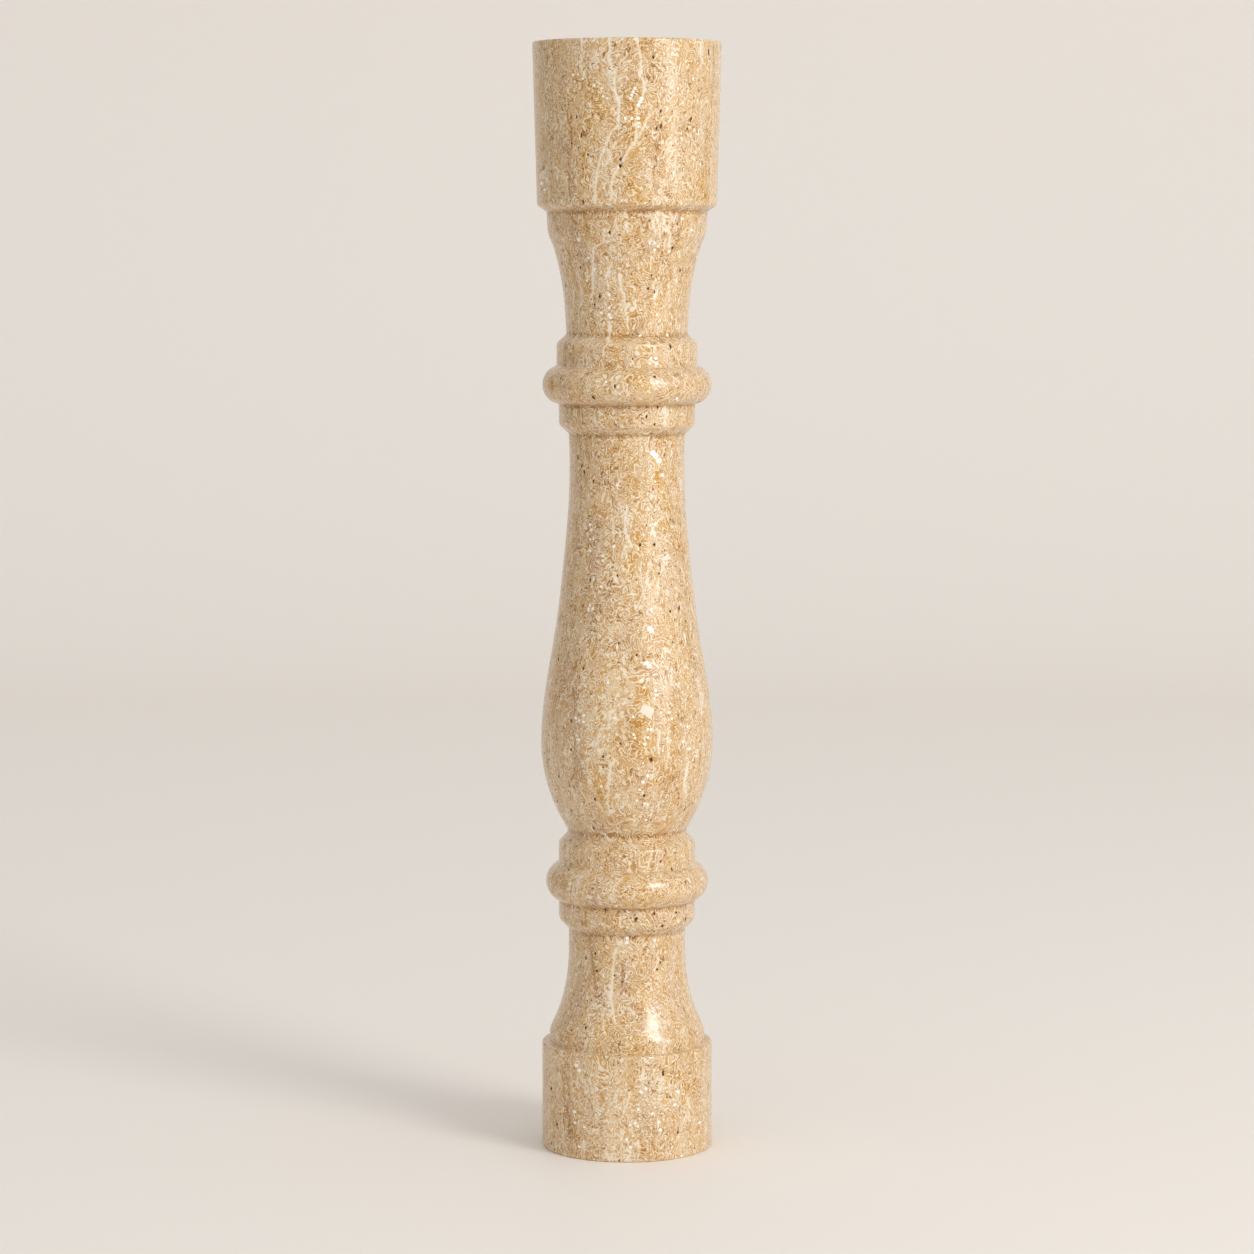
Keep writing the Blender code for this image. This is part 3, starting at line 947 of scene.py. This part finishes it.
# %% Measure from a place to a line or band
OUTSIDE = -6.0
BELOW_ALL, ABOVE_ALL = -20.0, 720.0


def by_height(tree, up, points, handles):
    """A number that follows the height alone. points has (height, number) pairs from the bottom up."""
    node = add(tree, "ShaderNodeFloatCurve", {"Value": up})
    node.mapping.use_clip = False
    curve = node.mapping.curves[0]
    curve.points[0].location, curve.points[1].location = points[0], points[-1]
    for height, number in points[1:-1]:
        curve.points.new(height, number)
    for point in curve.points:
        point.handle_type = handles
    node.mapping.update()
    return node.outputs["Value"]


def inside_strand(tree, across, up, strand):
    """How deep inside the marks of one strand a place is, in millimetres. It is negative outside them."""
    places, widths = [], [(BELOW_ALL, OUTSIDE)]
    for row in strand:
        width, *points = row
        places += [(height, side) for side, height in reversed(points)]
        bottom, top = points[-1][1], points[0][1]
        widths += [(bottom - fade_of(row), OUTSIDE), (bottom, width / 2)]
        widths += [(top, width / 2), (top + fade_of(row), OUTSIDE)]
    widths.append((ABOVE_ALL, OUTSIDE))
    places = [(BELOW_ALL, places[0][1]), *places, (ABOVE_ALL, places[-1][1])]
    line = by_height(tree, up, places, "AUTO_CLAMPED")
    away = maths(tree, "ABSOLUTE", maths(tree, "SUBTRACT", across, line))
    return maths(tree, "SUBTRACT", by_height(tree, up, widths, "VECTOR"), away)


def inside_strands(tree, across, up, rows):
    """The same for all the strands that the rows need."""
    return together(tree, "MAXIMUM", (inside_strand(tree, across, up, strand) for strand in strands(rows)))


# %% Measure from a place to a dot or a shape with corners
MIDDLE_HEIGHT = 350.0
USUAL_DOT = 1.7


def squared_to_dot(tree, across, up, width, x, height):
    """The squared distance to a dot's edge, without the part that is the same for every dot."""
    z = height - MIDDLE_HEIGHT
    part = maths(tree, "MULTIPLY_ADD", across, -2.0 * x, x * x + z * z - width ** 2 / 4)
    return maths(tree, "MULTIPLY_ADD", up, -2.0 * z, part)


def inside_dots(tree, across, up, rows):
    """How deep inside the nearest dot a place is. up is from the middle height, where squares stay small."""
    dots = ((width, *place) for width, *places in rows for place in places)
    nearest = together(tree, "MINIMUM", (squared_to_dot(tree, across, up, *dot) for dot in dots))
    own = maths(tree, "MULTIPLY_ADD", across, across, product(tree, up, up))
    return product(tree, maths(tree, "ADD", nearest, own), -1.0 / USUAL_DOT)


def inside_side(tree, across, up, start, end):
    """How far a place is to the right of a straight side."""
    inwards = Vector((end[1] - start[1], start[0] - end[0])).normalized()
    part = maths(tree, "MULTIPLY_ADD", up, inwards.y, -inwards.dot(start))
    return maths(tree, "MULTIPLY_ADD", across, inwards.x, part)


def inside_corners(tree, across, up, corners):
    """The same for a flat shape with straight sides, its corners clockwise. up is the height itself."""
    sides = zip(corners, corners[1:] + corners[:1])
    return together(tree, "MINIMUM", (inside_side(tree, across, up, *side) for side in sides))


# %% [markdown]
# ## The travertine
#
# Everything that lightens or darkens the stone is added up into one number, its paleness, measured so that
# most of the stone lies between -1 and 1. One colour ramp then turns paleness into colour, from the brown
# of a stain through golden tan to cream and the white of shell. Real stone works the same way: the pale
# parts lose their yellow as they lighten. Separate colours for each effect would need far more matching.
# Only the golden and grey bands have a colour of their own, as a little more or less of the stone's yellow.
#
# Painted shade darkens the inner corners under the overhangs, where the stone lies in shade. Their heights
# are read from the outline, so the painted shade follows the mouldings if they change.

# %% Paleness from the layers and the grain
NOISE_SPREAD = 0.12


def share(tree, value, weight):
    """Noise about its own middle, scaled to so many steps of paleness."""
    return product(tree, maths(tree, "SUBTRACT", value, NOISE_MIDDLE), weight / NOISE_SPREAD)


def carried(tree, value, target, mask):
    """A number carried to a target where the mask is 1."""
    mix = add(tree, "ShaderNodeMix", {"Factor": mask, "A": value, "B": target}, data_type="FLOAT")
    return mix.outputs["Result"]


def layers_of(tree, folded):
    """The folded place with its depth drawn out, so that noise there comes in thin layers."""
    return stretched(tree, folded, 1.0, 0.45, 1.0)


def bedding(tree, place, folded):
    """Paleness from wide layers, thin layers and blotches, and from two sizes of grain."""
    layers = layers_of(tree, folded)
    return together(tree, "ADD", [
        share(tree, noise(tree, stretched(tree, folded, 24.0, 8.0, 80.0), 1.0, 2.0), 0.28),
        share(tree, noise(tree, stretched(tree, folded, 7.0, 2.6, 34.0), 1.0, 2.0), 0.26),
        share(tree, noise(tree, shifted(tree, layers, 3.0, 50.0, 9.0), 6.0, 2.0), 0.12),
        share(tree, noise(tree, place, 1.4, curl=1.0), 0.14),
        share(tree, noise(tree, shifted(tree, place, 40.0, 0.0, 0.0), 0.8), 0.38),
    ])


# %% Paleness from the threads, the loops and the fans
LOOP_WEIGHT = 2.4
FAN_WEIGHT = 1.0


def threads(tree, folded):
    """Paleness from the filaments, the loops and the crystal fans."""
    layers = layers_of(tree, folded)
    upright = stretched(tree, folded, 1.0, 0.5, 4.0)
    rows = [
        # position, size, width, shown from, weight
        (upright, 13.0, 0.024, 0.40, 2.1),
        (shifted(tree, upright, 0.0, 30.0, 0.0), 6.0, 0.042, 0.45, 1.3),
        (shifted(tree, layers, 80.0, 0.0, 0.0), 7.0, 0.033, 0.36, 2.9),
        (shifted(tree, layers, 0.0, 0.0, 70.0), 4.0, 0.050, 0.40, 1.8),
        (shifted(tree, layers, 0.0, 60.0, 0.0), 5.0, 0.038, 0.40, -3.3),
    ]
    parts = []
    for position, size, width, start, weight in rows:
        line = use(tree, filament_group, Position=position, Size=size, Width=width, Shown_from=start)
        parts.append(product(tree, line, weight))
    wide = use(tree, loop_group, Position=layers, Size=9.0, Lines=10.5)
    small = use(tree, loop_group, Position=shifted(tree, layers, 20.0, 0.0, 0.0), Size=4.5, Lines=5.3)
    where = ranged(tree, noise(tree, shifted(tree, layers, 0.0, 40.0, 0.0), 18.0), 0.44, 0.56)
    parts.append(product(tree, carried(tree, small, wide, where), LOOP_WEIGHT))
    parts.append(product(tree, use(tree, fan_group, Position=layers), FAN_WEIGHT))
    return together(tree, "ADD", parts)


# %% Painted shade in the inner corners
CORNER_SHADE_REACH = 2.6


def inner_corners(points):
    """Heights of the inner corners that lie under an overhang, in millimetres."""
    return [
        here.y * METRES_TO_MM for before, here, after in zip(points, points[1:], points[2:])
        if turn_between(heading(before, here), heading(here, after)) > CORNER_ANGLE and here.x < before.x
    ]


def painted_corner_shade(tree, up, corners):
    """Painted shade: 1 in the inner corners of the mouldings and 0 away from them."""
    away = (maths(tree, "ABSOLUTE", maths(tree, "SUBTRACT", up, height)) for height in corners)
    return ranged(tree, together(tree, "MINIMUM", away), 0.0, CORNER_SHADE_REACH, 1.0, 0.0)


print("inner corners at", [round(height) for height in inner_corners(coarse_outline)])

# %% Tones, folds and edges
TONES = [
    # place on the ramp and colour, from stain to shell
    (0.05, (0.270, 0.125, 0.036)),
    (0.20, (0.465, 0.250, 0.080)),
    (0.33, (0.580, 0.342, 0.132)),
    (0.50, (0.650, 0.438, 0.218)),
    (0.67, (0.712, 0.538, 0.332)),
    (0.80, (0.765, 0.635, 0.460)),
    (0.92, (0.840, 0.765, 0.640)),
    (1.00, (0.930, 0.890, 0.810)),
]
SPREAD = 0.16
RAMP_MIDDLE = 0.535
POLISH_SIZE = 1.9
POLISH_DEPTH = 0.012 * MM

# how large the folds are, and how far they bend a place each way
WIDE_FOLDS = (48.0, (16.0, 5.0, 14.0))
SMALL_FOLDS = (8.0, (3.6, 1.8, 3.6))
SHEET_FOLDS = (6.0, (3.4, 0.0, 3.0))
DOT_FOLDS = (3.0, (1.3, 0.0, 1.3))
WANDER_SIZE, SHEET_WANDER = 26.0, 80.0
WANDER_FROM_TO = (-45.0, 20.0)

# how deep inside a mark its edge begins and ends, and how much noise makes lines thick and thin
GOLD_EDGE, GREY_EDGE, PALE_EDGE = (-4.0, 3.0), (-3.5, 2.5), (-2.0, 2.0)
VEIN_EDGE, DARK_LINE_EDGE = (-1.0, 0.6), (-0.5, 0.4)
SHELL_EDGE, DIAMOND_EDGE = (-0.3, 0.05), (-0.2, 0.2)
THICKNESS_SIZE, THICK_AND_THIN = 2.2, 2.4
VEIN_UNEVENNESS, DARK_LINE_UNEVENNESS = 0.8, 0.7

# the paleness that covers what is under it
PALEST_GROUND, PALE_VEIN, WHITE_FLECK, WHITE_SHELL, CREAM_DIAMOND = 2.1, 2.5, 2.8, 3.1, 2.4
PIN_PRICK, DARK_LINE = -3.0, -2.4
VEIN_STRENGTH = 0.85
print("tones:", len(TONES), "from", TONES[0][1], "to", TONES[-1][1])

# %% Colour ramp
def colour_ramp(tree, value, stops):
    """Turns a number into colour. Each stop is a place between 0 and 1, and its colour."""
    node = add(tree, "ShaderNodeValToRGB", {"Fac": value})
    while len(node.color_ramp.elements) < len(stops):
        node.color_ramp.elements.new(0.5)
    for element, (position, colour) in zip(node.color_ramp.elements, stops):
        element.position = position
        element.color = (*colour, 1.0)
    return node.outputs["Color"]


# %% Masks of the marks
def bent(tree, position, size, reach):
    """The position after folds of that size have bent it."""
    return use(tree, fold_group, Position=position, Size=size, Reach=reach)


def mark_masks(tree, place, depth):
    """Bands, veins, dark lines and shells placed one by one: seven masks, each 1 inside and 0 outside."""
    front = maths(tree, "LESS_THAN", depth, 0.0)
    sheet_across, _, sheet_up = xyz(tree, bent(tree, place, *SHEET_FOLDS))
    dot_across, _, dot_up = xyz(tree, bent(tree, place, *DOT_FOLDS))
    up_from_middle = maths(tree, "SUBTRACT", dot_up, MIDDLE_HEIGHT)
    thickness = noise(tree, place, THICKNESS_SIZE)
    thickness = maths(tree, "MULTIPLY_ADD", thickness, THICK_AND_THIN, -THICK_AND_THIN / 2)

    def marked(depth_inside, edge, unevenness=0.0):
        """1 inside the marks and 0 outside, with the edge spread over some millimetres of depth."""
        if unevenness:
            depth_inside = maths(tree, "MULTIPLY_ADD", thickness, unevenness, depth_inside)
        return ranged(tree, depth_inside, *edge)

    wander = maths(tree, "SUBTRACT", noise(tree, place, WANDER_SIZE), NOISE_MIDDLE)
    wander = product(tree, wander, SHEET_WANDER)
    wander = product(tree, wander, ranged(tree, depth, *WANDER_FROM_TO))
    sheet_across = maths(tree, "ADD", sheet_across, wander)
    kinds = [
        # rows, edge, unevenness
        (GOLD_BANDS, GOLD_EDGE, 0.0),
        (GREY_BANDS, GREY_EDGE, 0.0),
        (PALE_AND_HIGHLIGHT_BANDS, PALE_EDGE, 0.0),
        (VEINS, VEIN_EDGE, VEIN_UNEVENNESS),
        (DARK_LINES, DARK_LINE_EDGE, DARK_LINE_UNEVENNESS),
    ]
    sheets = [
        marked(inside_strands(tree, sheet_across, sheet_up, rows), edge, unevenness)
        for rows, edge, unevenness in kinds
    ]
    shell = marked(inside_dots(tree, dot_across, up_from_middle, SHELLS), SHELL_EDGE)
    diamond = marked(inside_corners(tree, dot_across, dot_up, DIAMOND_SHELL), DIAMOND_EDGE)
    return *sheets, product(tree, shell, front), product(tree, diamond, front)


# %% Masks of the flecks
def fleck_masks(tree, place, folded):
    """White dots, slivers of shell, pin-prick pits and rust spots, each 1 inside and 0 outside."""
    slivers = stretched(tree, folded, 1.0, 1.0, 3.0)
    speck_place = shifted(tree, place, 9.0, 0.0, 0.0)
    rows = [
        # position, spacing, radius, share kept, softness
        (folded, 8.0, 0.95, 0.3, 0.3),
        (slivers, 7.0, 0.8, 0.25, 0.3),
        (speck_place, 4.5, 0.75, 0.3, 0.3),
        (folded, 13.0, 2.6, 0.5, 1.6),
    ]
    return [
        use(tree, fleck_group, Position=position, Spacing=spacing, Radius=radius, Share_kept=part,
            Softness=softness)
        for position, spacing, radius, part, softness in rows
    ]


# %% Travertine material
def travertine_tree(tree):
    """Fills in the stone's material."""
    place = times(tree, add(tree, "ShaderNodeTexCoord").outputs["Object"], METRES_TO_MM)
    folded = bent(tree, bent(tree, place, *WIDE_FOLDS), *SMALL_FOLDS)
    _, depth, up = xyz(tree, place)
    # The pale mask holds the pale bands, the first of them partly a painted highlight down the head drum.
    gold, grey, pale, vein, dark_line, shell, diamond = mark_masks(tree, place, depth)
    # Painted shade for the inner corners under the overhangs.
    corner_shade = painted_corner_shade(tree, up, inner_corners(coarse_outline))
    white, sliver, speck, rust = fleck_masks(tree, place, folded)

    # The inner-corner mask is painted shade.
    weights = [(gold, -0.35), (grey, -0.75), (pale, 0.6), (rust, -0.7), (corner_shade, -1.6)]
    paleness = together(tree, "ADD", [
        bedding(tree, place, folded), threads(tree, folded),
        *(product(tree, mask, weight) for mask, weight in weights),
    ])
    paleness = maths(tree, "MINIMUM", paleness, PALEST_GROUND)
    for target, mask in (
        (PALE_VEIN, product(tree, vein, VEIN_STRENGTH)),
        (WHITE_FLECK, maths(tree, "MAXIMUM", white, sliver)),
        (PIN_PRICK, speck),
        (DARK_LINE, dark_line),
        (CREAM_DIAMOND, diamond),
        (WHITE_SHELL, shell),
    ):
        paleness = carried(tree, paleness, target, mask)

    stone = colour_ramp(tree, maths(tree, "MULTIPLY_ADD", paleness, SPREAD, RAMP_MIDDLE), TONES)
    broad = stretched(tree, shifted(tree, folded, 5.0, 0.0, 90.0), 15.0, 5.0, 45.0)
    yellow = together(tree, "ADD", [
        share(tree, noise(tree, broad, 1.0, 2.0), 0.06),
        product(tree, gold, 0.12),
        maths(tree, "MULTIPLY_ADD", grey, -0.08, 1.0),
    ])
    coloured = add(tree, "ShaderNodeHueSaturation", {"Color": stone, "Saturation": yellow})
    dull = together(tree, "ADD", [
        share(tree, noise(tree, layers_of(tree, folded), 6.0), 0.03),
        product(tree, speck, 0.4),
        maths(tree, "MULTIPLY_ADD", rust, 0.06, 0.30),
    ])
    waviness = noise(tree, place, POLISH_SIZE, curl=1.0)
    bump = add(tree, "ShaderNodeBump", {"Height": waviness, "Distance": POLISH_DEPTH})
    fill(tree, tree.nodes["Principled BSDF"], {
        "Base Color": coloured.outputs["Color"], "Roughness": dull, "Normal": bump.outputs["Normal"],
        "IOR": 1.5, "Coat Weight": 0.37, "Coat Roughness": 0.10, "Coat IOR": 1.5,
    })


travertine.use_nodes = True
travertine_tree(travertine.node_tree)
print("travertine:", len(travertine.node_tree.nodes), "nodes")

# %% [markdown]
# ## Pit walls
#
# A pit was never polished, and clay and rust have settled in it. Its wall is dull and dark brown, with
# paler crumbs where crystals stick out.

# %% Pit wall material
pit_wall.use_nodes = True
wall_tree = pit_wall.node_tree
wall_place = times(wall_tree, add(wall_tree, "ShaderNodeTexCoord").outputs["Object"], METRES_TO_MM)
crumbs = noise(wall_tree, wall_place, 0.6, 2.0)
WALL_TONES = [(0.40, (0.105, 0.050, 0.019)), (0.80, (0.420, 0.250, 0.120))]
wall_colour = colour_ramp(wall_tree, crumbs, WALL_TONES)
fill(wall_tree, wall_tree.nodes["Principled BSDF"], {
    "Base Color": wall_colour, "Roughness": 0.75, "Specular IOR Level": 0.05,
})
print("pit wall:", len(wall_tree.nodes), "nodes")

# %% [markdown]
# ## Fitting it to the imported model
#
# The finished stone stands where the imported one does, so it takes its place and rides on the same body.

# %% Finish up
baluster = bpy.data.objects.new("turned_baluster", pitted_mesh)
scene.collection.objects.link(baluster)
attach(baluster, "root")
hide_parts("baluster")
